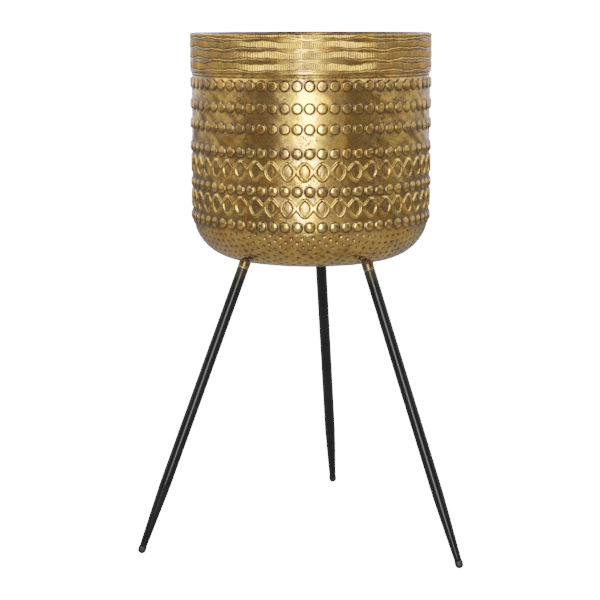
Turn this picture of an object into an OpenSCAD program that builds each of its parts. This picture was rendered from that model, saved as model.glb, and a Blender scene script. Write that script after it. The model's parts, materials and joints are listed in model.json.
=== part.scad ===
// Footed brass planter: an embossed sheet pot on three screw-in splayed legs.
// Millimetres, +Z up. The origin is on the floor, on the pot's own axis.
// One leg stands at the back (+Y), the other two at the front left and right.

/* [Pot] */
// Outside diameter of the plain part of the wall
wall_d = 265; // [240:1:300]
// Height of the pot from its underside to the rim
pot_h = 250; // [190:1:320]
// Thickness of the pressed brass sheet
sheet_t = 0.8; // [0.6:0.1:1.2]
// Radius of the upper bend between wall and base
corner_r = 44; // [36:1:50]
// Radius of the lower bend that runs out into the flat of the base
heel_r = 54; // [50:1:60]
// Angle at which the upper bend hands over to the lower one
corner_a = 33; // [25:1:45]
// Depth of base that the wall's lower edge laps over
lap_drop = 7; // [4:0.5:9]
// Height of the base skirt inside the wall, above the bend
skirt_h = 10; // [6:1:16]

/* [Collar] */
// Height of the collar strip, from its lower lip to the rim
band_h = 43; // [34:1:56]
// How far the collar stands proud of the wall
band_proud = 1.4; // [1.2:0.1:1.8]
// Outside radius of the rolled rim
hem_r = 2.8; // [2.6:0.1:3.2]
// Height of the strip's inside edge below the wire
hem_tail = 6; // [3:0.5:9]
// Depth of the swaged groove under the collar
groove_d = 1.2; // [0.8:0.1:1.6]

/* [Stand] */
// Height of the pot's underside above the floor
stand_h = 326; // [240:1:420]
// Outside diameter of the leg tube
leg_d = 12.7; // [12.7:0.1:14]
// Wall thickness of the leg tube
leg_t = 1.2; // [1:0.1:1.4]
// Splay of each leg from the vertical, in degrees
leg_tilt = 21.5; // [15:0.5:26]
// Distance from the pot's axis to the middle of a leg at the screwed joint
seam_r = 81.8; // [74:0.2:86]
// Drop from the pot's underside to the screwed joint
seam_drop = 9.5; // [9:0.5:14]
// Length of the swaged taper at the foot of a leg
taper_l = 75; // [50:1:120]
// Diameter of the tube at its lower end
tip_d = 8; // [7:0.1:9]

/* [Fittings] */
// Outside diameter of the socket under the pot
socket_d = 13; // [12.8:0.1:14.5]
// Diameter of the threaded stud
stud_d = 8; // [6:1:8]
// Radial clearance of the stud in its socket
stud_gap = 0.05; // [0.02:0.01:0.1]
// Length of thread that goes up into the socket
stud_up = 6.9; // [5:0.1:6.9]
// Length of stud held in the leg plug
stud_down = 13; // [10:1:16]
// Length of the plug in the top of the leg
plug_l = 20; // [18:1:30]
// Thickness of the washer between leg and socket
washer_t = 0.8; // [0.5:0.1:1]
// Diameter of the foot tip
foot_d = 9; // [8.4:0.1:10]
// Height of the foot ball's centre above the floor
foot_z = 4; // [3.6:0.1:4]

/* [Hidden] */
$fn = 96;

BRASS = [0.66, 0.52, 0.24];
STEEL = [0.62, 0.62, 0.60];
BLACK = [0.05, 0.05, 0.05];

// Compass angle of each leg: back, front left, front right
LEG_ANGLE = [90, 210, 330];

// Gap left between faces that only rest on each other
face_gap = 0.05;

// Pot: the base nests inside the wall, so its skin lies this far inward
base_in = sheet_t + face_gap;
wall_r = wall_d / 2;
top_z = stand_h + pot_h;
band_z = top_z - band_h;
outline_z = stand_h - base_in;
heel_z = outline_z + heel_r;
corner_z = heel_z + (corner_r - heel_r) * sin(corner_a);
corner_x = wall_r - corner_r;
heel_x = corner_x + (corner_r - heel_r) * cos(corner_a);
lap_a = asin(lap_drop / corner_r);
bend_steps = 12;

// Collar: the strip's outer face, then the wire that its rim is rolled over
band_r = wall_r + band_proud;
wire_r = hem_r - sheet_t - face_gap;
hem_x = band_r - hem_r;
hem_z = top_z - hem_r;
wall_top = hem_z - wire_r - 0.5;
lip_r = band_proud - face_gap;

// Leg: distances along its axis from the screwed joint, downwards positive
seam_z = stand_h - seam_drop;
foot_s = (seam_z - foot_z) / cos(leg_tilt);
tube_end = foot_s - 4;
taper_s = tube_end - taper_l;
bore_r = leg_d / 2 - leg_t;
tip_bore_r = tip_d / 2 - leg_t;
foot_stem = 10;
chamfer = 0.8;

// Points on a circular arc, from angle a0 to a1
function arc(x, z, r, a0, a1, n) =
    [for (i = [0:n]) let (a = a0 + (a1 - a0) * i / n) [x + r * cos(a), z + r * sin(a)]];

function reversed(list) = [for (i = [len(list) - 1:-1:0]) list[i]];

// The pot's outline a distance inward from its outer face: from the middle of
// the base, out along the flat, round both bends and up to height z
function pot_curve(inward, z) = concat(
    [[0, outline_z + inward]],
    reversed(arc(heel_x, heel_z, heel_r - inward, -corner_a, -90, bend_steps)),
    reversed(arc(corner_x, corner_z, corner_r - inward, 0, -corner_a, bend_steps)),
    [[wall_r - inward, z]]
);

// The wall's outline: lapped lower edge, plain cylinder, then the swaged
// groove and its small bead under the collar
function wall_curve(inward) = concat(
    arc(corner_x, corner_z, corner_r - inward, -lap_a, 0, 4),
    [
        [wall_r - inward, band_z - 7.5],
        [wall_r - groove_d - inward, band_z - 4],
        [wall_r - groove_d - inward, band_z - 3.2],
        [wall_r - groove_d / 4 - inward, band_z - 1.8],
        [wall_r - groove_d * 0.7 - inward, band_z - 0.8],
        [wall_r - inward, band_z + 0.4],
        [wall_r - inward, wall_top]
    ]
);

// The collar's outline: lower lip turned in to the wall, strip, rolled rim
function band_curve(inward) = concat(
    arc(band_r - lip_r, band_z + lip_r, lip_r - inward, -90, 0, 6),
    arc(hem_x, hem_z, hem_r - inward, 0, 180, bend_steps),
    [[hem_x - hem_r + inward, hem_z - hem_tail]]
);

// Places a shape drawn along +Z on the axis of leg n, at the screwed joint
module on_leg(n) {
    rotate([0, 0, LEG_ANGLE[n - 1]])
        translate([seam_r, 0, seam_z])
            rotate([0, 180 - leg_tilt, 0])
                children();
}

module pot_wall() {
    color(BRASS)
        rotate_extrude()
            polygon(concat(wall_curve(0), reversed(wall_curve(sheet_t))));
}

module pot_base() {
    skirt_z = corner_z + skirt_h;
    color(BRASS)
        rotate_extrude()
            polygon(concat(
                pot_curve(base_in, skirt_z),
                reversed(pot_curve(base_in + sheet_t, skirt_z))
            ));
}

module rim_band() {
    color(BRASS)
        rotate_extrude()
            polygon(concat(band_curve(0), reversed(band_curve(sheet_t))));
}

module rim_wire() {
    color(STEEL)
        rotate_extrude()
            translate([hem_x, hem_z])
                circle(r = wire_r, $fn = 32);
}

// A short turned bush, cut to the shape of the dish that it is brazed to
module leg_socket(n) {
    reach = 30;
    mouth = washer_t + 2 * face_gap;
    color(BRASS)
        difference() {
            on_leg(n)
                difference() {
                    translate([0, 0, -reach])
                        cylinder(d = socket_d, h = reach - mouth);
                    translate([0, 0, -reach - 1])
                        cylinder(r = stud_d / 2 + stud_gap, h = reach + 2);
                }
            rotate_extrude()
                polygon(concat(
                    pot_curve(base_in, corner_z),
                    [[0, corner_z]]
                ));
        }
}

module leg_washer(n) {
    color(STEEL)
        on_leg(n)
            translate([0, 0, -washer_t - face_gap])
                difference() {
                    cylinder(d = leg_d - 0.5, h = washer_t);
                    translate([0, 0, -1])
                        cylinder(r = stud_d / 2 + 0.3, h = washer_t + 2);
                }
}

module leg_stud(n) {
    up = stud_up + washer_t;
    r = stud_d / 2;
    color(STEEL)
        on_leg(n)
            rotate_extrude()
                polygon([
                    [0, -up],
                    [r - chamfer, -up],
                    [r, chamfer - up],
                    [r, stud_down],
                    [0, stud_down]
                ]);
}

module leg_plug(n) {
    color(STEEL)
        on_leg(n)
            difference() {
                cylinder(r = bore_r, h = plug_l);
                translate([0, 0, -1])
                    cylinder(d = stud_d, h = stud_down + 1);
            }
}

module leg_tube(n) {
    color(BLACK)
        on_leg(n)
            rotate_extrude()
                polygon([
                    [bore_r, 0],
                    [leg_d / 2, 0],
                    [leg_d / 2, taper_s],
                    [tip_d / 2, tube_end],
                    [tip_bore_r, tube_end],
                    [bore_r, taper_s]
                ]);
}

// A push-in tip: a stem in the tube and a ball with a small flat on the floor
module leg_foot(n) {
    r = foot_d / 2;
    color(BLACK)
        difference() {
            on_leg(n)
                rotate_extrude()
                    polygon(concat(
                        [[0, tube_end - foot_stem]],
                        [[tip_bore_r, tube_end - foot_stem]],
                        [[tip_bore_r, tube_end]],
                        [[r - 0.3, tube_end]],
                        [[r, tube_end + 0.6]],
                        arc(0, foot_s, r, 0, 90, bend_steps)
                    ));
            translate([0, 0, -20])
                cube([600, 600, 40], center = true);
        }
}

pot_wall();
pot_base();
rim_band();
rim_wire();
leg_socket(1);  // leg_socket_1
leg_socket(2);  // leg_socket_2
leg_socket(3);  // leg_socket_3
leg_washer(1);  // leg_washer_1
leg_washer(2);  // leg_washer_2
leg_washer(3);  // leg_washer_3
leg_stud(1);  // leg_stud_1
leg_stud(2);  // leg_stud_2
leg_stud(3);  // leg_stud_3
leg_plug(1);  // leg_plug_1
leg_plug(2);  // leg_plug_2
leg_plug(3);  // leg_plug_3
leg_tube(1);  // leg_tube_1
leg_tube(2);  // leg_tube_2
leg_tube(3);  // leg_tube_3
leg_foot(1);  // leg_foot_1
leg_foot(2);  // leg_foot_2
leg_foot(3);  // leg_foot_3
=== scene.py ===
import json
import math

import bpy
import numpy as np
from mathutils import Matrix, Vector


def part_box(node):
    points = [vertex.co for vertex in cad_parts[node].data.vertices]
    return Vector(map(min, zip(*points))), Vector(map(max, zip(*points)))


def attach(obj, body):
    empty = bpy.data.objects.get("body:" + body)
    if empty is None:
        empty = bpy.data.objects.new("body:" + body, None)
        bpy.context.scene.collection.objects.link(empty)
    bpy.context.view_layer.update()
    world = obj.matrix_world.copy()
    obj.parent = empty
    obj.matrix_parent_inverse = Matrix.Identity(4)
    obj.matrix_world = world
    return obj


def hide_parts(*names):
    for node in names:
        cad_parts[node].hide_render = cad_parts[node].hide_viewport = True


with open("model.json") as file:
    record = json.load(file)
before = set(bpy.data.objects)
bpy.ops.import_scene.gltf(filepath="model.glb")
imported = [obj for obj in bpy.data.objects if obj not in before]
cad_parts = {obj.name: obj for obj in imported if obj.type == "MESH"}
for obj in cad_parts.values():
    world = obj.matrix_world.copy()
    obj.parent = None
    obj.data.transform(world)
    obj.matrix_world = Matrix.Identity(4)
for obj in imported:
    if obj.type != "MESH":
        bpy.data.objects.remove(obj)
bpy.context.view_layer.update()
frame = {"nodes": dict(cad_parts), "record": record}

# ---------------------------------------------------------------------------
# Camera: a long lens at rim height, turned a little to the right of the
# pot's front and tipped down, so that the rim is seen edge on.
camera_distance = 1.777
camera_height = 0.589
camera_turn = math.radians(7.9)
camera_aim_left = math.radians(0.40)
camera_tip = math.radians(10.03)
camera_roll = math.radians(0.1)

camera_data = bpy.data.cameras.new("camera")
camera_data.sensor_width = 36.0
camera_data.lens = 94.94
camera = bpy.data.objects.new("camera", camera_data)
bpy.context.scene.collection.objects.link(camera)
camera.matrix_world = (
    Matrix.Translation((
        camera_distance * math.sin(camera_turn),
        -camera_distance * math.cos(camera_turn),
        camera_height,
    ))
    @ Matrix.Rotation(camera_turn + camera_aim_left, 4, "Z")
    @ Matrix.Rotation(math.pi / 2 - camera_tip, 4, "X")
    @ Matrix.Rotation(-camera_roll, 4, "Z")
)
bpy.context.scene.camera = camera

# The exposure rolls off softly, and blue is lifted in the bright tones, so that
# the highlights on the brass turn pale, not yellow. Each pair is a light and
# the tone shown for it, or in the blue curve the light that it is lifted to.
white_point = 5.0
all_curve = ((0.25, 0.25), (0.5, 0.41), (0.85, 0.54), (1.25, 0.64), (2.0, 0.765), (3.0, 0.87))
blue_curve = (
    (0.25, 0.25), (0.40, 0.42), (0.60, 0.80), (0.83, 1.30), (1.3, 1.55), (2.0, 2.06), (3.0, 3.0),
)
view = bpy.context.scene.view_settings
view.view_transform = "Standard"
view.use_curve_mapping = True
view.curve_mapping.white_level = (white_point, white_point, white_point)
blue_light, all_light = view.curve_mapping.curves[2], view.curve_mapping.curves[3]
for light, shown in all_curve:
    all_light.points.new(light / white_point, shown)
for light, shown in blue_curve:
    blue_light.points.new(light / white_point, shown / white_point)
view.curve_mapping.update()

# ---------------------------------------------------------------------------
# Base dish: a disc of thin brass sheet, rolled with a square grid of small
# dimples and then pressed into a round-bottomed dish. Its skirt tucks up
# inside the wall and is soldered there. It is plain where the sockets sit.
sheet = 0.0008
base_low, base_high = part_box("pot_base")
base_radius = base_high[0]
base_floor = base_low[2]
base_top = base_high[2]
upper_bend = 0.04315
lower_bend = 0.05315
hand_over = math.radians(33)
heel_x = base_radius - upper_bend - (lower_bend - upper_bend) * math.cos(hand_over)
heel_z = base_floor + lower_bend
bend_x = base_radius - upper_bend
bend_z = heel_z - (lower_bend - upper_bend) * math.sin(hand_over)
dimple_pitch = 0.00876
dimple_radius = 0.0026
dimple_depth = 0.0013
dimple_turn = math.radians(46.6)
dimple_start = (-0.0003, 0.0014)
dimple_edge = (0.012, 0.017)  # below the skirt's top: no dimples above, full depth below
plain_edge = (0.008, 0.014)  # below the skirt's top: true sheet above, hand waves below
plain_spot = (0.0085, 0.0115)  # from a socket's middle: plain inside, embossed outside
dish_columns = 1536
shortest_edge = 0.0004
fewest_columns = 15
socket_boxes = [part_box("leg_socket_" + leg) for leg in "123"]
socket_spots = [((low[0] + high[0]) / 2, (low[1] + high[1]) / 2) for low, high in socket_boxes]


def ramp(x, low, high):
    t = np.clip((x - low) / (high - low), 0.0, 1.0)
    return t * t * (3.0 - 2.0 * t)


def bend_points(x, z, radius, start, stop, step):
    count = max(2, round(abs(stop - start) * radius / step))
    angles = [start + (stop - start) * i / count for i in range(count)]
    return [(x + radius * math.cos(a), z + radius * math.sin(a)) for a in angles]


def straight_points(first, last, step):
    count = max(1, round(math.dist(first, last) / step))
    return [
        (first[0] + (last[0] - first[0]) * i / count, first[1] + (last[1] - first[1]) * i / count)
        for i in range(count)
    ]


def hand_waves(angle, height):
    """The slow waviness that thin sheet keeps after it is rolled and pressed.
    Each wave has its turns round the pot, its rise per metre, and its height
    in millimetres."""
    waves = 0.0
    for turns, rise, amount, shift in (
        (5, 62.0, 0.12, 0.4), (9, -94.0, 0.10, 2.1), (14, 166.0, 0.08, 4.0),
        (23, -240.0, 0.06, 1.2), (31, 342.0, 0.045, 5.3), (44, 466.0, 0.03, 3.3),
    ):
        waves = waves + amount * np.sin(turns * angle + rise * height + shift)
    return waves * 0.001


def sheet_rings(outline, lift, columns_at, inner_columns, inner_step):
    """Rings of vertices over a turned sheet: along its outer face, then back along its inner face. The
    outside lies to the right of the outline's run, and lift gives the embossing's height and its tone: how
    far it is rubbed bright or lies under patina, with painted shade laid along grooves, edges and outlines."""
    line = np.array(outline)
    along = np.gradient(line, axis=0)
    along /= np.linalg.norm(along, axis=1)[:, None]
    normal = np.stack([along[:, 1], -along[:, 0]], axis=1)
    run = np.concatenate([[0.0], np.cumsum(np.linalg.norm(np.diff(line, axis=0), axis=1))])
    last = len(line) - 1
    back = list(range(last, 0, -inner_step)) + [0]
    rings = []
    outer_face = [(i, 0.0, 0.0) for i in range(last + 1)]
    for i, inward, inside in outer_face + [(i, sheet, 1.0) for i in back]:
        x, z = line[i]
        if x < shortest_edge:
            rings.append(np.array([[0.0, 0.0, z - normal[i, 1] * inward, 0.0, inside]]))
            continue
        count = columns_at(z) if inside < 0.5 else inner_columns
        if inside > 0.5 and i in (last, 0):
            count = max(count, columns_at(z) // 2)
        while count > fewest_columns and x * 2 * math.pi / count < shortest_edge:
            count //= 2
        angle = np.arange(count) * (2 * math.pi / count)
        raised, tone_and_shade = lift(angle, x, run[i], z, inside > 0.5)
        radius = x + normal[i, 0] * (raised - inward)
        height = z + normal[i, 1] * (raised - inward)
        rings.append(np.stack([
            radius * np.cos(angle), radius * np.sin(angle), height + angle * 0.0,
            tone_and_shade + angle * 0.0, inside + angle * 0.0,
        ], axis=1))
    return rings


def skin(name, rings, closed=False):
    """A mesh over a run of rings. A ring has as many vertices as the one before
    it, or half or twice as many, or a single one at the axis."""
    starts = np.cumsum([0] + [len(r) for r in rings])
    pairs = [(i, i + 1) for i in range(len(rings) - 1)]
    pairs += [(len(rings) - 1, 0)] if closed else []
    corners, sizes = [], []
    for a, b in pairs:
        na, nb = len(rings[a]), len(rings[b])
        if max(na, nb) == 1:
            continue
        i = np.arange(min(na, nb) if min(na, nb) > 1 else max(na, nb))
        j = (i + 1) % len(i)
        sa, sb = starts[a], starts[b]
        if nb == 1:
            face = [sa + i, sa + j, sb + 0 * i]
        elif na == 1:
            face = [sa + 0 * i, sb + j, sb + i]
        elif na == nb:
            face = [sa + i, sa + j, sb + j, sb + i]
        elif na == 2 * nb:
            face = [sa + 2 * i, sa + 2 * i + 1, sa + (2 * i + 2) % na, sb + j, sb + i]
        else:
            face = [sa + i, sa + j, sb + (2 * i + 2) % nb, sb + 2 * i + 1, sb + 2 * i]
        face = np.stack(face, axis=1)
        corners.append(face.ravel())
        sizes.append(np.full(len(face), face.shape[1]))
    data = np.concatenate(rings)
    corners, sizes = np.concatenate(corners), np.concatenate(sizes)
    mesh = bpy.data.meshes.new(name)
    mesh.vertices.add(len(data))
    mesh.vertices.foreach_set("co", data[:, :3].astype(np.float32).ravel())
    mesh.loops.add(len(corners))
    mesh.loops.foreach_set("vertex_index", corners.astype(np.int32))
    mesh.polygons.add(len(sizes))
    mesh.polygons.foreach_set("loop_start", (np.cumsum(sizes) - sizes).astype(np.int32))
    mesh.polygons.foreach_set("use_smooth", np.ones(len(sizes), dtype=bool))
    mesh.update(calc_edges=True)
    mesh.validate()
    for column, label in enumerate(("tone_and_shade", "inside"), 3):
        if data.shape[1] > column:
            values = mesh.attributes.new(label, "FLOAT", "POINT")
            values.data.foreach_set("value", data[:, column].astype(np.float32))
    piece = bpy.data.objects.new(name, mesh)
    bpy.context.scene.collection.objects.link(piece)
    return piece


def base_lift(angle, radius, run, height, inner):
    smooth = 1.0 + angle * 0.0
    for x, y in socket_spots:
        from_socket = np.hypot(radius * np.cos(angle) - x, radius * np.sin(angle) - y)
        smooth = smooth * ramp(from_socket, *plain_spot)
    # the pressing draws the square grid out, most of all toward the skirt
    flat = run * (0.829 + 0.110 * (run / 0.135) ** 2)
    x = flat * np.cos(angle) - dimple_start[0]
    y = flat * np.sin(angle) - dimple_start[1]
    across = (x * math.cos(dimple_turn) + y * math.sin(dimple_turn)) / dimple_pitch
    along = (y * math.cos(dimple_turn) - x * math.sin(dimple_turn)) / dimple_pitch
    away = dimple_pitch * np.hypot(across - np.round(across), along - np.round(along))
    bowl = 1.0 - ramp(away, dimple_radius * 0.10, dimple_radius)
    shown = ramp(base_top - height, *dimple_edge)
    raised = (0.6 * hand_waves(angle, height) - shown * dimple_depth * bowl) * smooth
    tone_and_shade = 0.58 - 0.62 * shown * smooth * bowl ** 0.6
    return raised * ramp(base_top - height, *plain_edge), tone_and_shade


base_outline = (
    straight_points((0.0, base_floor), (heel_x, base_floor), 0.0008)
    + bend_points(heel_x, heel_z, lower_bend, -math.pi / 2, -hand_over, 0.0007)
    + bend_points(bend_x, bend_z, upper_bend, -hand_over, 0.0, 0.0007)
    + straight_points((base_radius, bend_z), (base_radius, base_top), 0.0015)
    + [(base_radius, base_top)]
)
base_rings = sheet_rings(base_outline, base_lift, lambda z: dish_columns, dish_columns // 2, 2)
base_dish = skin("base_dish", base_rings)
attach(base_dish, "pot")
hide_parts("pot_base")


def place(tree, kind, settings=None, **inputs):
    """Adds a node, sets its options, and fills or links its named inputs."""
    node = tree.nodes.new(kind)
    for key, value in (settings or {}).items():
        setattr(node, key, value)
    for key, value in inputs.items():
        numbered = key[0] == "i" and key[1:].isdigit()
        socket = node.inputs[int(key[1:]) if numbered else key.replace("_", " ")]
        if isinstance(value, bpy.types.NodeSocket):
            tree.links.new(value, socket)
        else:
            socket.default_value = value
    return node


def blend_colours(tree, amount, first, second):
    node = place(tree, "ShaderNodeMix", {"data_type": "RGBA"})
    for socket, value in ((node.inputs[0], amount), (node.inputs[6], first), (node.inputs[7], second)):
        if isinstance(value, bpy.types.NodeSocket):
            tree.links.new(value, socket)
        else:
            socket.default_value = value
    return node.outputs[2]


def reckon(tree, kind, first, second, clamp=False):
    settings = {"operation": kind, "use_clamp": clamp}
    return place(tree, "ShaderNodeMath", settings, i0=first, i1=second).outputs[0]


def spread(tree, value, low, high, out_low, out_high):
    return place(
        tree, "ShaderNodeMapRange", {"clamp": True, "interpolation_type": "SMOOTHSTEP"},
        i0=value, i1=low, i2=high, i3=out_low, i4=out_high,
    ).outputs[0]


def noise(tree, place_on, scale, detail, **more):
    settings = dict(Vector=place_on, Scale=scale, Detail=detail, **more)
    return place(tree, "ShaderNodeTexNoise", None, **settings).outputs[0]


def tint(tree, amount, colour, by):
    return place(
        tree, "ShaderNodeMix", {"data_type": "RGBA", "blend_type": "MULTIPLY"},
        i0=amount, i6=colour, i7=by,
    ).outputs[2]


def new_finish(name):
    """A new material, with its node tree and its shader."""
    material = bpy.data.materials.new(name)
    material.use_nodes = True
    return material, material.node_tree, material.node_tree.nodes["Principled BSDF"]


def relief_on(tree, shader, strength, depth, height):
    bump = place(tree, "ShaderNodeBump", None, Strength=strength, Distance=depth, Height=height)
    tree.links.new(bump.outputs[0], shader.inputs["Normal"])


# Antique finish, used on every brass piece: a thin brown patina, darkest in the hollows and rubbed off
# whatever stands proud, with soft mottling, patches of fine dark speckle and small pits. The per-vertex tone
# that it reads also carries painted shade: dark lines painted along grooves, edges and outlines.
antique = bpy.data.node_groups.new("antique_finish", "ShaderNodeTree")
for label, kind, direction in (
    ("Tone_and_shade", "NodeSocketFloat", "INPUT"), ("Inside", "NodeSocketFloat", "INPUT"),
    ("Tone", "NodeSocketFloat", "INPUT"), ("Speckle", "NodeSocketFloat", "INPUT"),
    ("Colour", "NodeSocketColor", "OUTPUT"), ("Roughness", "NodeSocketFloat", "OUTPUT"),
    ("Height", "NodeSocketFloat", "OUTPUT"),
):
    antique.interface.new_socket(label, in_out=direction, socket_type=kind)
given = antique.nodes.new("NodeGroupInput").outputs
where = place(antique, "ShaderNodeTexCoord").outputs["Object"]
cloud = noise(antique, where, 14.0, 4.0, Roughness=0.6)
mottle = noise(antique, where, 105.0, 5.0, Roughness=0.65, Distortion=0.5)
grain = noise(antique, where, 430.0, 3.0, Roughness=0.7)
patch = noise(antique, where, 32.0, 3.0, Roughness=0.55)
patches = spread(antique, patch, 0.44, 0.56, 0.0, 1.0)
specks = reckon(antique, "MULTIPLY", spread(antique, grain, 0.47, 0.60, 0.0, 1.0), patches)
specks = reckon(antique, "MULTIPLY", specks, given["Speckle"])
cells = place(antique, "ShaderNodeTexVoronoi", None, Vector=where, Scale=260.0, Randomness=1.0)
pits = reckon(antique, "ADD", cells.outputs["Distance"], reckon(antique, "MULTIPLY", mottle, 0.5))
pit_mask = spread(antique, pits, 0.28, 0.38, 1.0, 0.0)
bright = given["Tone_and_shade"]
for layer in (
    spread(antique, mottle, 0.32, 0.70, -0.16, 0.16),
    spread(antique, cloud, 0.32, 0.68, -0.05, 0.05),
    spread(antique, grain, 0.35, 0.65, -0.12, 0.12),
    given["Tone"],
):
    bright = reckon(antique, "ADD", bright, layer)
bright = reckon(antique, "SUBTRACT", bright, reckon(antique, "MULTIPLY", specks, 0.85))
bright = reckon(antique, "SUBTRACT", bright, reckon(antique, "MULTIPLY", pit_mask, 0.16), True)

# the metal's colour, from brown patina in the hollows to rubbed bright
patina = (0.155, 0.092, 0.036, 1.0)
burnished = (0.86, 0.57, 0.18, 1.0)
between = (
    (0.25, (0.38, 0.208, 0.060, 1.0)),
    (0.50, (0.63, 0.350, 0.079, 1.0)),
    (0.75, (0.79, 0.462, 0.110, 1.0)),
)
# colour the inner faces are painted toward: painted shade
inner_shade_brown = (0.13, 0.085, 0.04, 1.0)
copper_cast = (1.08, 0.90, 0.72, 1.0)
cool_cast = (0.94, 0.87, 1.02, 1.0)
tones = place(antique, "ShaderNodeValToRGB", None, Fac=bright)
tone_stops = tones.color_ramp.elements
tone_stops[0].position, tone_stops[0].color = 0.0, patina
tone_stops[1].position, tone_stops[1].color = 1.0, burnished
for position, tone in between:
    tone_stop = tone_stops.new(position)
    tone_stop.color = tone
warm = noise(antique, where, 48.0, 4.0, Roughness=0.6)
metal = tint(antique, spread(antique, warm, 0.46, 0.64, 0.0, 1.0), tones.outputs[0], copper_cast)
metal = tint(antique, spread(antique, warm, 0.36, 0.50, 1.0, 0.0), metal, cool_cast)
# painted shade: the sheet's inner faces are darkened toward the brown above
inner_shade = reckon(antique, "MULTIPLY", given["Inside"], 0.55)
colour = blend_colours(antique, inner_shade, metal, inner_shade_brown)
roughness = spread(antique, bright, 0.05, 0.6, 0.30, 0.145)
for layer, amount in ((given["Inside"], 0.15), (specks, 0.10)):
    roughness = reckon(antique, "ADD", roughness, reckon(antique, "MULTIPLY", layer, amount))
coarse = reckon(antique, "MULTIPLY", mottle, 0.5)
height = reckon(antique, "ADD", coarse, reckon(antique, "MULTIPLY", grain, 0.12))
for layer in (pit_mask, specks):
    height = reckon(antique, "SUBTRACT", height, reckon(antique, "MULTIPLY", layer, 0.05))
out = antique.nodes.new("NodeGroupOutput").inputs
antique.links.new(colour, out["Colour"])
antique.links.new(roughness, out["Roughness"])
antique.links.new(height, out["Height"])


def brass_finish(name, tone, speckle, relief):
    material, tree, shader = new_finish(name)
    finish = place(tree, "ShaderNodeGroup", {"node_tree": antique}, Tone=tone, Speckle=speckle)
    for label in ("tone_and_shade", "inside"):
        read = place(tree, "ShaderNodeAttribute", {"attribute_name": label})
        tree.links.new(read.outputs["Fac"], finish.inputs[label.capitalize()])
    tree.links.new(finish.outputs["Colour"], shader.inputs["Base Color"])
    tree.links.new(finish.outputs["Roughness"], shader.inputs["Roughness"])
    relief_on(tree, shader, relief, 0.0006, finish.outputs["Height"])
    shader.inputs["Metallic"].default_value = 1.0
    shader.inputs["Coat Weight"].default_value = 0.35
    shader.inputs["Coat Roughness"].default_value = 0.25
    shader.inputs["Coat IOR"].default_value = 1.45
    return material


base_dish.data.materials.append(brass_finish("antique_brass_dish", 0.0, 0.5, 0.5))

# ---------------------------------------------------------------------------
# Wall: brass sheet rolled between embossing rollers and closed into a drum
# with a lapped seam at the back. Six rows of round studs and two rows of a
# raised net with pointed oval openings stand out of it.
wall_low, wall_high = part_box("pot_wall")
band_low, band_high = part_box("rim_band")
wall_radius = wall_high[0]
wall_foot = wall_low[2]
wall_head = wall_high[2]
collar_foot = band_low[2]
wall_columns_plain = 1024
studs_round = 64
stud_turn = math.radians(-82.6)
stud_radius = 0.0060
stud_top = 0.70  # share of a stud's radius that is rubbed bright
stud_foot = 0.93  # share of a stud's radius where a dark ring of patina and painted shade is laid round it
# depth of each row below the collar, height of its studs, and how domed they are
stud_rows = (
    (0.0115, 0.0016, 0.0), (0.0345, 0.0016, 0.0), (0.0560, 0.0017, 0.10),
    (0.0812, 0.0018, 0.40), (0.1208, 0.0019, 0.80), (0.1582, 0.0019, 0.85),
)
# the net: its openings, and the notches between them along its edges
openings_round = 46
opening_turn = math.radians(-84.8)
net_rows = (0.1000, 0.1382)
net_half = 0.0096
net_edge = 0.0025
net_height = 0.0014
hole_wide = 0.0048
hole_tall = 0.0078
notch_start = 0.0033
notch_flare = 0.88
# the groove and bead under the collar: drops below it, and shares of the depth
groove_depth = 0.0012
bead_drops = (0.0075, 0.0040, 0.0032, 0.0018, 0.0008, -0.0004)
bead_ins = (0.0, 1.0, 1.0, 0.25, 0.70, 0.0)
seam_turn = math.radians(96)


def embossed(height):
    """Whether a height of the wall lies in a row of studs or ridges."""
    drop = collar_foot - height
    return (
        any(abs(drop - row[0]) < stud_radius + 0.0010 for row in stud_rows)
        or any(abs(drop - row) < net_half + net_edge for row in net_rows)
    )


def stud_lift(away, tall, domed):
    away = np.clip(away / stud_radius, 0.0, 1.0)
    crown = 1.0 - 0.10 * np.minimum(away / 0.7, 1.0) ** 2 - 0.025 * np.exp(-(((away - 0.32) / 0.10) ** 2))
    flat = (1.0 - ramp(away, 0.72, 0.99)) * crown
    dome = np.clip(1.0 - away ** 2.2, 0.0, 1.0) ** 0.75 * (1.0 - away ** 8)
    return tall * ((1.0 - domed) * flat + domed * dome)


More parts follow.
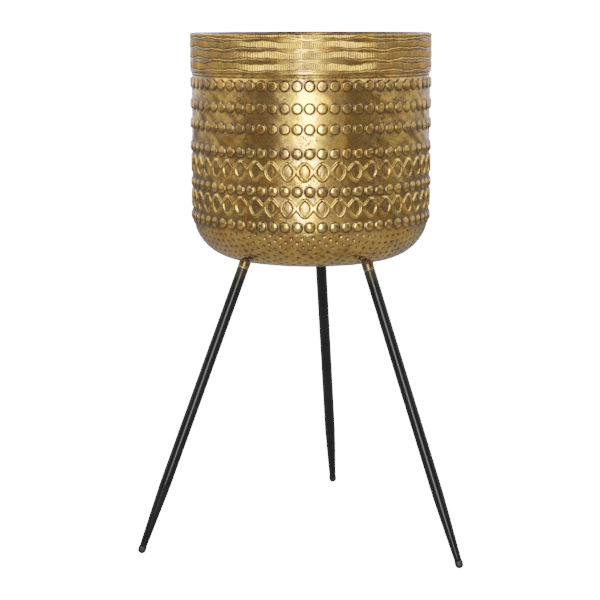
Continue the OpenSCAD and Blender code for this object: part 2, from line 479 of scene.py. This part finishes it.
def wall_lift(angle, radius, run, height, inner):
    drop = collar_foot - height
    raised = hand_waves(angle, height)
    tone_and_shade = 0.5 + angle * 0.0
    step = 2 * math.pi / studs_round
    sideways = ((angle - stud_turn + step / 2) % step - step / 2) * wall_radius
    for row, tall, domed in stud_rows:
        if abs(drop - row) > stud_radius * 1.4:
            continue
        away = np.hypot(sideways, drop - row)
        raised = raised + stud_lift(away, tall, domed)
        tone_and_shade = tone_and_shade + 0.16 * (1.0 - ramp(away, stud_radius * stud_top, stud_radius * 0.82))
        # painted shade: a dark ring painted round each stud's foot, over the patina there
        tone_and_shade = tone_and_shade - 0.58 * np.exp(-(((away - stud_radius * stud_foot) / 0.0011) ** 2))
    pitch = 2 * math.pi / openings_round
    across = np.abs((angle - opening_turn + pitch / 2) % pitch - pitch / 2) * wall_radius
    for row in net_rows:
        level = abs(drop - row)
        if level > net_half + net_edge:
            continue
        leaf = hole_wide * (1.0 - (level / hole_tall) ** 2)
        lean = 1.0 / math.hypot(1.0, 2 * hole_wide * min(level, hole_tall) / hole_tall ** 2)
        from_hole = (across - leaf) * lean if level < hole_tall else np.hypot(across, level - hole_tall)
        from_notch = (pitch / 2 * wall_radius - across - (level - notch_start) * notch_flare) * 0.77
        away = np.minimum(from_hole, from_notch)
        fade = 1.0 - float(ramp(level, 0.0082, net_half + 0.0018))
        ridge = ramp(away, -0.0004, 0.0015) * fade
        raised = raised + net_height * ridge + 0.00012 * ramp(-from_hole, 0.0010, 0.0030)
        # painted shade: a dark line painted just inside each opening's edge, and a fainter one along the
        # notches
        outline = 0.42 * np.exp(-(((from_hole + 0.0002) / 0.00065) ** 2))
        outline = outline + 0.12 * np.exp(-((from_notch / 0.0006) ** 2))
        tone_and_shade = tone_and_shade + 0.14 * ridge - 0.14 * ramp(-from_hole, 0.0, 0.0008)
        tone_and_shade = tone_and_shade - outline * fade
    lap = ((angle - seam_turn + math.pi) % (2 * math.pi) - math.pi) * wall_radius
    raised = raised + 0.0005 * ramp(lap, -0.0006, 0.0006) * (1.0 - ramp(lap, 0.006, 0.012))
    # painted shade: the groove and bead just under the collar are painted darker
    shade_under_collar = ramp(drop, -0.0004, 0.0006) * (1.0 - ramp(drop, 0.0034, 0.0050))
    edge = ramp(height, wall_foot, wall_foot + 0.0012)
    return raised * edge, tone_and_shade - 0.12 * shade_under_collar


wall_bend = upper_bend + sheet + 0.00005
wall_outline = bend_points(
    bend_x, bend_z, wall_bend, -math.asin((bend_z - wall_foot) / wall_bend), 0.0, 0.0006
)
up = bend_z
while up < collar_foot - bead_drops[0] - 0.0003:
    wall_outline.append((wall_radius, up))
    up += 0.00042 if embossed(up) else 0.0008
bead_points = [
    (wall_radius - groove_depth * inset, collar_foot - drop) for drop, inset in zip(bead_drops, bead_ins)
]
for first, last in zip(bead_points, bead_points[1:]):
    wall_outline += straight_points(first, last, 0.0004)
wall_outline += straight_points(bead_points[-1], (wall_radius, wall_head), 0.004) + [(wall_radius, wall_head)]


def wall_columns(height):
    fine = embossed(height) and height < collar_foot - 0.004
    return 2 * wall_columns_plain if fine else wall_columns_plain


wall_rings = sheet_rings(wall_outline, wall_lift, wall_columns, wall_columns_plain, 2)
wall_drum = skin("wall_drum", wall_rings, closed=True)
wall_drum.data.materials.append(brass_finish("antique_brass_wall", 0.04, 1.0, 0.5))
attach(wall_drum, "pot")
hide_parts("pot_wall")

# ---------------------------------------------------------------------------
# Collar: a strip of the same sheet, stamped panel by panel with wavy ribbed
# bands, wrapped round the wall's head with its lower lip turned in. Its top
# edge is rolled over a wire to make the rim.
band_radius = band_high[0]
rim_top = band_high[2]
hem_radius = 0.0028
hem_tail = 0.006
lip_radius = 0.00135
panels = 9
panel_turn = math.radians(-86.3)
ribs_round = 432
rib_depth = 0.00062
rib_columns = 8
# depth of each ribbed band below the rim, its half height, and its wave's start
ribbed_bands = (
    (0.0030, 0.0015, 0.15), (0.0123, 0.0029, 0.35), (0.0231, 0.0031, 0.30), (0.0349, 0.0031, 0.62),
)


def band_wave(turn, start):
    return (
        0.00085 * np.sin(9 * turn + start * 9.0)
        + 0.00045 * np.sin(23 * turn + start * 23.0)
        + 0.00020 * np.sin(71 * turn + start * 40.0)
    )


def collar_lift(angle, radius, run, height, inner):
    drop = rim_top - height
    # painted shade: past the collar's face, the rolled rim's top and inside are painted dark
    if run > collar_face_run:
        return 0.3 * hand_waves(angle, height) - 0.00035, 0.22 + angle * 0.0
    part = ((angle - panel_turn) / (2 * math.pi / panels)) % 1.0
    across = 2.0 * ((angle * ribs_round / (2 * math.pi)) % 1.0) - 1.0
    ribs = 0.5 + angle * 0.0 if inner else 1.0 - across ** 2
    deep_rib = rib_depth - 0.00016 * ramp(part, 0.80, 1.0)
    raised = angle * 0.0
    tone_and_shade = 0.46 + angle * 0.0
    for deep, half, start in ribbed_bands:
        level = drop - deep - band_wave(angle, start)
        half = half + 0.00035 * np.sin(19 * angle + start * 31.0)
        body = 1.0 - ramp(np.abs(level), half - 0.0005, half + 0.0002)
        raised = raised + body * (0.00025 + deep_rib * (ribs - 1.0))
        tone_and_shade = tone_and_shade + body * (0.46 * ribs - 0.20)
        # painted shade: a dark line painted along each ribbed band's upper and lower edge, over a shallow dip
        edge = np.exp(-(((np.abs(level) - half - 0.0005) / 0.0004) ** 2))
        below = level - half
        thin = np.exp(-(((below - 0.0018) / 0.00042) ** 2))
        low = np.exp(-(((below - 0.0027) / 0.0004) ** 2))
        raised = raised + 0.00028 * thin - 0.00028 * edge - 0.00018 * low
        tone_and_shade = tone_and_shade + 0.24 * thin - 0.34 * edge - 0.22 * low
    join = np.minimum(part, 1.0 - part) * (2 * math.pi / panels) * band_radius
    raised = raised * ramp(join, 0.0001, 0.0006)
    shown = ramp(drop, 0.0016, 0.0030) * ramp(height - collar_foot, 0.0012, 0.0028)
    lip = ramp(height, collar_foot, collar_foot + 0.0010)
    raised = raised * shown + 0.3 * hand_waves(angle, height) * lip - 0.00035 * lip
    return raised, tone_and_shade * shown + 0.46 * (1 - shown)


hem_x = band_radius - hem_radius
hem_z = rim_top - hem_radius
collar_face = (
    bend_points(band_radius - lip_radius, collar_foot + lip_radius, lip_radius, -math.pi / 2, 0.0, 0.0004)
    + straight_points((band_radius, collar_foot + lip_radius), (band_radius, hem_z), 0.00052)
)
collar_outline = (
    collar_face
    + bend_points(hem_x, hem_z, hem_radius, 0.0, math.pi, 0.0005)
    + straight_points((hem_x - hem_radius, hem_z), (hem_x - hem_radius, hem_z - hem_tail), 0.0015)
    + [(hem_x - hem_radius, hem_z - hem_tail)]
)
collar_face_run = sum(math.dist(a, b) for a, b in zip(collar_face, collar_face[1:])) + 0.0015
collar_rings = sheet_rings(
    collar_outline, collar_lift, lambda z: ribs_round * rib_columns, ribs_round * 2, 2
)
collar = skin("collar", collar_rings, closed=True)
collar.data.materials.append(brass_finish("antique_brass_collar", -0.06, 0.4, 0.4))
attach(collar, "pot")
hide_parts("rim_band")


# ---------------------------------------------------------------------------
# Rim wire: a ring of plated steel wire, closed up inside the rolled rim. It
# keeps the thin sheet round, and only its drawn surface shows if it is opened.
def steel_finish(name, tone, rough):
    material, tree, shader = new_finish(name)
    where = place(tree, "ShaderNodeTexCoord").outputs["Object"]
    grain = noise(tree, where, 900.0, 3.0)
    bloom = noise(tree, where, 120.0, 4.0)
    dull = tuple(0.72 * value for value in tone[:3]) + (1.0,)
    tree.links.new(blend_colours(tree, bloom, dull, tone), shader.inputs["Base Color"])
    tree.links.new(spread(tree, bloom, 0.3, 0.7, rough + 0.12, rough), shader.inputs["Roughness"])
    relief_on(tree, shader, 0.15, 0.0002, grain)
    shader.inputs["Metallic"].default_value = 1.0
    return material


zinc = steel_finish("zinc_plate", (0.60, 0.60, 0.58, 1.0), 0.30)
rim_wire = frame["nodes"]["rim_wire"]
rim_wire.data.materials.clear()
rim_wire.data.materials.append(zinc)

# ---------------------------------------------------------------------------
# Leg sockets: short turned bushes with a threaded bore, cut at an angle to
# sit on the dish and brazed there with a small uneven fillet. They share the
# pot's antique finish, darker where the flame has been.
legs = {}
for joint in frame["record"]["behaviour"]["joints"]:
    if joint["name"].endswith("_screw"):
        legs[joint["name"][4]] = (Vector(joint["pos_m"]), Vector(joint["axis"]).normalized())
socket_radius = 0.0065
socket_mouth = -0.0009
thread_pitch = 0.00125
thread_crest = 0.00345
thread_root = 0.00412


def on_leg(leg):
    """The placing of a leg: its origin at the screwed joint, +Z down the leg."""
    start, axis = legs[leg]
    side = Vector((0.0, 0.0, 1.0)).cross(axis).normalized()
    return Matrix.Translation(start) @ Matrix((side, axis.cross(side), axis)).transposed().to_4x4()


def set_out(rings, placing):
    """Puts rings drawn round the Z axis into the pot's frame."""
    m = np.array(placing)
    return [np.hstack([r[:, :3] @ m[:3, :3].T + m[:3, 3], r[:, 3:]]) for r in rings]


def angles_round(columns):
    return np.arange(columns) * (2 * math.pi / columns)


def ring_at(radius, along, columns, tone_and_shade=0.4, inside=0.0):
    angle = angles_round(columns)
    one = angle * 0.0 + 1.0
    return np.stack([
        radius * np.cos(angle), radius * np.sin(angle), along * one, tone_and_shade * one, inside * one,
    ], axis=1)


def thread_shape(along, angles):
    """0 to 1 over a thread's profile, with a flat at its crest and at its root."""
    phase = (along / thread_pitch - angles / (2 * math.pi)) % 1.0
    return np.clip(1.5 * np.abs(2.0 * phase - 1.0) - 0.2, 0.0, 1.0)


def dish_gap(point):
    """How far a point lies below the dish's outer face."""
    xs = [p[0] for p in base_outline]
    zs = [p[1] for p in base_outline]
    return float(np.interp(math.hypot(point[0], point[1]), xs, zs)) - point[2]


def reach_dish(placing, radius, angle):
    """Distance up a leg's axis at which a line along it meets the dish."""
    near, far = 0.0, -0.03
    for _ in range(40):
        middle = (near + far) / 2
        point = placing @ Vector((radius * math.cos(angle), radius * math.sin(angle), middle))
        if dish_gap(point) > 0.0:
            near = middle
        else:
            far = middle
    return near


socket_brass = brass_finish("antique_brass_socket", -0.35, 0.5, 0.35)
columns = 72
angles = angles_round(columns)
for leg in legs:
    placing = on_leg(leg)
    mouth = [
        ring_at(thread_crest + 0.0009, socket_mouth, columns),
        ring_at(socket_radius - 0.0005, socket_mouth, columns, 0.8),
        ring_at(socket_radius - 0.00015, socket_mouth - 0.00015, columns, 0.9),
        ring_at(socket_radius, socket_mouth - 0.0006, columns, 0.6),
    ]
    top = np.array([reach_dish(placing, socket_radius, a) for a in angles])
    body = []
    for share in (0.35, 0.7, 0.9):
        along = socket_mouth + share * (top + 0.0017 - socket_mouth)
        body.append(ring_at(socket_radius, along, columns, 0.35))
    for out_by, up in ((0.0002, 0.0011), (0.0006, 0.0005)):
        body.append(ring_at(socket_radius + out_by, top + up, columns, 0.1))
    uneven = 0.0014 + 0.0003 * np.sin(3 * angles + float(leg)) + 0.0002 * np.sin(7 * angles + 2.0)
    foot = np.array([reach_dish(placing, socket_radius + u, a) for a, u in zip(angles, uneven)])
    body.append(ring_at(socket_radius + uneven, foot - 0.0002, columns, 0.0))
    bore = [ring_at(thread_root, top - 0.0003, columns, 0.0, 1.0)]
    for along in np.arange(-0.0085, socket_mouth - 0.0006, thread_pitch / 8):
        radius = thread_crest + (thread_root - thread_crest) * thread_shape(along, angles)
        bore.append(ring_at(radius, along, columns, 0.5, 0.4))
    rings = set_out(mouth + body + bore, placing)
    bush = skin("socket_" + leg, rings, closed=True)
    bush.data.materials.append(socket_brass)
    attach(bush, "pot")
    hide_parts("leg_socket_" + leg)

# ---------------------------------------------------------------------------
# Washers and plugs: a thin plated washer beds each leg against its socket,
# and a plated steel plug is pressed into the tube's top to hold the stud.
plated = steel_finish("dulled_plate", (0.42, 0.38, 0.30, 1.0), 0.38)
for leg in legs:
    for node, finish in (("leg_washer_" + leg, plated), ("leg_plug_" + leg, zinc)):
        fitting = frame["nodes"][node]
        fitting.data.materials.clear()
        fitting.data.materials.append(finish)

# ---------------------------------------------------------------------------
# Studs: M8 plated steel, with a rolled thread. Half of each stud is screwed
# into the leg's plug, and the rest goes up into the socket.
stud_up = 0.0077
stud_down = 0.0128
stud_crest = 0.00397
stud_root = 0.00330
columns = 48
angles = angles_round(columns)
for leg in legs:
    rings = [np.array([[0.0, 0.0, -stud_up, 0.5, 0.0]])]
    rings += [ring_at(stud_root - 0.0008, -stud_up, columns)]
    for along in np.arange(-stud_up + 0.0001, stud_down, thread_pitch / 10):
        threaded = stud_root + (stud_crest - stud_root) * thread_shape(along, angles)
        lead = min(1.0, (along + stud_up) / 0.0009)
        radius = np.minimum(threaded, stud_root - 0.0006 + 0.0014 * lead)
        rings.append(ring_at(radius, along, columns))
    rings += [ring_at(stud_root, stud_down, columns), np.array([[0.0, 0.0, stud_down, 0.5, 0.0]])]
    stud = skin("stud_" + leg, set_out(rings, on_leg(leg)))
    stud.data.materials.append(zinc)
    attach(stud, "leg_" + leg)
    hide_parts("leg_stud_" + leg)

# ---------------------------------------------------------------------------
# Leg tubes: round steel tube, its lower end swaged to a long taper, sprayed with semi-gloss black enamel. The
# top of each one carries a brass-coloured tint in patches, fading out over its first 18 mm.
tube_radius = 0.00635
tube_wall = 0.0012
tip_radius = 0.004
taper_length = 0.075
foot_ball_height = 0.004
foot_along = (legs["1"][0].z - foot_ball_height) / -legs["1"][1].z
tube_end = foot_along - 0.004
taper_start = tube_end - taper_length
deep_black = (0.0030, 0.0032, 0.0033, 1.0)
worn_black = (0.0060, 0.0062, 0.0060, 1.0)
brass_tint = (0.16, 0.105, 0.042, 1.0)


def enamel_finish():
    material, tree, shader = new_finish("black_enamel")
    where = place(tree, "ShaderNodeTexCoord").outputs["Object"]
    brass_tint_amount = place(tree, "ShaderNodeAttribute", {"attribute_name": "tone_and_shade"}).outputs["Fac"]
    peel = noise(tree, where, 260.0, 2.0)
    dust = noise(tree, where, 1500.0, 2.0)
    haze = noise(tree, where, 30.0, 4.0)
    hazy = spread(tree, haze, 0.35, 0.7, 0.0, 1.0)
    black = blend_colours(tree, hazy, deep_black, worn_black)
    # a brass-coloured, partly metallic tint in patches at the top of each tube
    flecks = reckon(tree, "MULTIPLY", brass_tint_amount, spread(tree, dust, 0.35, 0.62, 0.25, 1.0), True)
    tree.links.new(blend_colours(tree, flecks, black, brass_tint), shader.inputs["Base Color"])
    tree.links.new(reckon(tree, "MULTIPLY", flecks, 0.7), shader.inputs["Metallic"])
    tree.links.new(spread(tree, haze, 0.3, 0.7, 0.06, 0.12), shader.inputs["Roughness"])
    relief_on(tree, shader, 0.10, 0.0003, peel)
    shader.inputs["Specular IOR Level"].default_value = 0.26
    return material


enamel = enamel_finish()
columns = 64
bore = tube_radius - tube_wall
for leg in legs:
    rings = [ring_at(radius, along, columns, brass_tint_amount) for radius, along, brass_tint_amount in (
        (bore, 0.00025, 0.6), (bore + 0.00025, 0.0, 0.9), (tube_radius - 0.0005, 0.0, 0.9),
        (tube_radius - 0.00012, 0.00012, 0.8), (tube_radius, 0.0005, 0.5),
    )]
    for along in np.linspace(0.002, taper_start, 90):
        brass_tint_amount = 0.35 * float(1.0 - ramp(along, 0.002, 0.018))
        rings.append(ring_at(tube_radius, along, columns, brass_tint_amount))
    for share in np.linspace(0.04, 1.0, 25):
        eased = share ** 1.08
        radius = tube_radius + (tip_radius - tube_radius) * eased
        rings.append(ring_at(radius, taper_start + share * taper_length, columns, 0.0))
    rings += [ring_at(tip_radius - tube_wall, tube_end, columns, 0.0)]
    rings += [ring_at(bore, taper_start, columns, 0.0)]
    tube = skin("leg_" + leg, set_out(rings, on_leg(leg)), closed=True)
    tube.data.materials.append(enamel)
    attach(tube, "leg_" + leg)
    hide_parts("leg_tube_" + leg)


# ---------------------------------------------------------------------------
# Foot tips: moulded black nylon, pushed into the tube by a stem, with a ball
# end that has worn a small flat where it stands on the floor.
def nylon_finish():
    material, tree, shader = new_finish("black_nylon")
    where = place(tree, "ShaderNodeTexCoord").outputs["Object"]
    grain = noise(tree, where, 1400.0, 3.0)
    scuff = noise(tree, where, 300.0, 4.0)
    worn = spread(tree, scuff, 0.45, 0.75, 0.0, 1.0)
    fresh, scuffed = (0.005, 0.005, 0.005, 1.0), (0.014, 0.0135, 0.0125, 1.0)
    tree.links.new(blend_colours(tree, worn, fresh, scuffed), shader.inputs["Base Color"])
    tree.links.new(spread(tree, scuff, 0.3, 0.7, 0.38, 0.58), shader.inputs["Roughness"])
    relief_on(tree, shader, 0.2, 0.0002, grain)
    return material


nylon = nylon_finish()
foot_radius = 0.0045
stem_length = 0.010
stem = tip_radius - tube_wall
stem_start = tube_end - stem_length
columns = 48
for leg in legs:
    rings = [np.array([[0.0, 0.0, stem_start, 0.0, 0.0]])]
    rings += [ring_at(radius, along, columns) for radius, along in (
        (stem - 0.0003, stem_start), (stem, stem_start + 0.0004), (stem, tube_end),
        (foot_radius - 0.0004, tube_end), (foot_radius - 0.0001, tube_end + 0.0002),
        (foot_radius, tube_end + 0.0007), (foot_radius, tube_end + 0.0022),
    )]
    for a in np.linspace(0.0, math.pi / 2, 18)[:-1]:
        rings.append(ring_at(foot_radius * math.cos(a), foot_along + foot_radius * math.sin(a), columns))
    rings.append(np.array([[0.0, 0.0, foot_along + foot_radius, 0.0, 0.0]]))
    rings = set_out(rings, on_leg(leg))
    for ring in rings:
        ring[:, 2] = np.maximum(ring[:, 2], 0.0)
    tip = skin("foot_" + leg, rings)
    tip.data.materials.append(nylon)
    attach(tip, "leg_" + leg)
    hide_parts("leg_foot_" + leg)

# ---------------------------------------------------------------------------
# Studio: a plain pale floor that runs off into a white backdrop, tall soft
# boxes just left of the camera and dimmer ones to each side of it, two more
# hung over the pot's sides, and a dim, even room.
floor_mesh = bpy.data.meshes.new("floor")
floor_mesh.from_pydata([(-6, -6, 0), (6, -6, 0), (6, 6, 0), (-6, 6, 0)], [], [(0, 1, 2, 3)])
floor = bpy.data.objects.new("floor", floor_mesh)
bpy.context.scene.collection.objects.link(floor)
paper, tree, shader = new_finish("pale_paper")
fibre = place(tree, "ShaderNodeTexNoise", None, Scale=900.0, Detail=4.0).outputs[0]
darker_fibre, paler_fibre = (0.36, 0.36, 0.36, 1.0), (0.40, 0.40, 0.40, 1.0)
paper_colour = blend_colours(tree, fibre, darker_fibre, paler_fibre)
tree.links.new(paper_colour, shader.inputs["Base Color"])
shader.inputs["Roughness"].default_value = 0.9
shader.inputs["Specular IOR Level"].default_value = 0.1
lit = place(tree, "ShaderNodeLightPath").outputs["Is Camera Ray"]
floor_glow = 5.1
glow = place(tree, "ShaderNodeEmission", None, Strength=reckon(tree, "MULTIPLY", lit, floor_glow))
whole = place(tree, "ShaderNodeAddShader", None, i0=shader.outputs[0], i1=glow.outputs[0])
tree.links.new(whole.outputs[0], tree.nodes["Material Output"].inputs["Surface"])
floor.data.materials.append(paper)

world = bpy.data.worlds.new("studio")
bpy.context.scene.world = world
world.use_nodes = True
tree = world.node_tree
seen = place(tree, "ShaderNodeLightPath").outputs["Is Camera Ray"]
backdrop = tree.nodes["Background"]
backdrop.inputs["Color"].default_value = (1.0, 1.0, 1.0, 1.0)
backdrop.inputs["Strength"].default_value = white_point * 1.03
direction = place(tree, "ShaderNodeTexCoord").outputs["Generated"]
toward = place(
    tree, "ShaderNodeVectorMath", {"operation": "DOT_PRODUCT"},
    i0=direction, i1=(math.sin(camera_turn), -math.cos(camera_turn), 0.0),
).outputs["Value"]
upward = place(
    tree, "ShaderNodeVectorMath", {"operation": "DOT_PRODUCT"}, i0=direction, i1=(0.0, 0.0, 1.0),
).outputs["Value"]
shade = spread(tree, toward, 0.26, 0.72, 0.78, 0.17)
shade = reckon(tree, "ADD", shade, spread(tree, toward, -0.95, -0.45, 0.35, 0.0))
shade = reckon(tree, "MULTIPLY", shade, spread(tree, upward, 0.40, 0.80, 1.0, 0.30))
room = place(tree, "ShaderNodeBackground", None, Color=(1.0, 1.0, 1.0, 1.0), Strength=shade)
mixer = place(tree, "ShaderNodeMixShader", None, i0=seen, i1=room.outputs[0], i2=backdrop.outputs[0])
tree.links.new(mixer.outputs[0], tree.nodes["World Output"].inputs["Surface"])


def soft_box(name, turn, distance, wide, tall, radiance, overhead=False):
    """A soft box standing on the floor or hung over it, at a turn in degrees
    from the camera."""
    data = bpy.data.lights.new(name, "AREA")
    data.shape = "RECTANGLE"
    data.size, data.size_y = wide, tall
    data.energy = radiance * math.pi * wide * tall
    box = bpy.data.objects.new(name, data)
    bpy.context.scene.collection.objects.link(box)
    around = camera_turn + math.radians(turn)
    box.location = (distance * math.sin(around), -distance * math.cos(around), tall / 2 + 0.02)
    look = Vector((0.0, 0.0, -1.0)) if overhead else Vector((0.0, 0.0, tall / 2)) - box.location
    box.rotation_euler = look.to_track_quat("-Z", "Y").to_euler()


# name, turn, distance, width, height, radiance
for box in (
    ("front_box", -4.2, 2.2, 0.67, 2.0, 11.5), ("front_glow", -5.0, 2.3, 1.45, 2.0, 0.9),
    ("left_glow", -23.5, 2.4, 0.34, 2.0, 1.9), ("near_glow", 8.0, 2.4, 0.46, 2.0, 1.8),
    ("right_glow", 24.0, 2.4, 0.70, 2.0, 0.40),
):
    soft_box(*box)
for name, turn in (("left_top", -85.0), ("right_top", 85.0)):
    soft_box(name, turn, 0.85, 0.7, 1.9, 2.0, overhead=True)
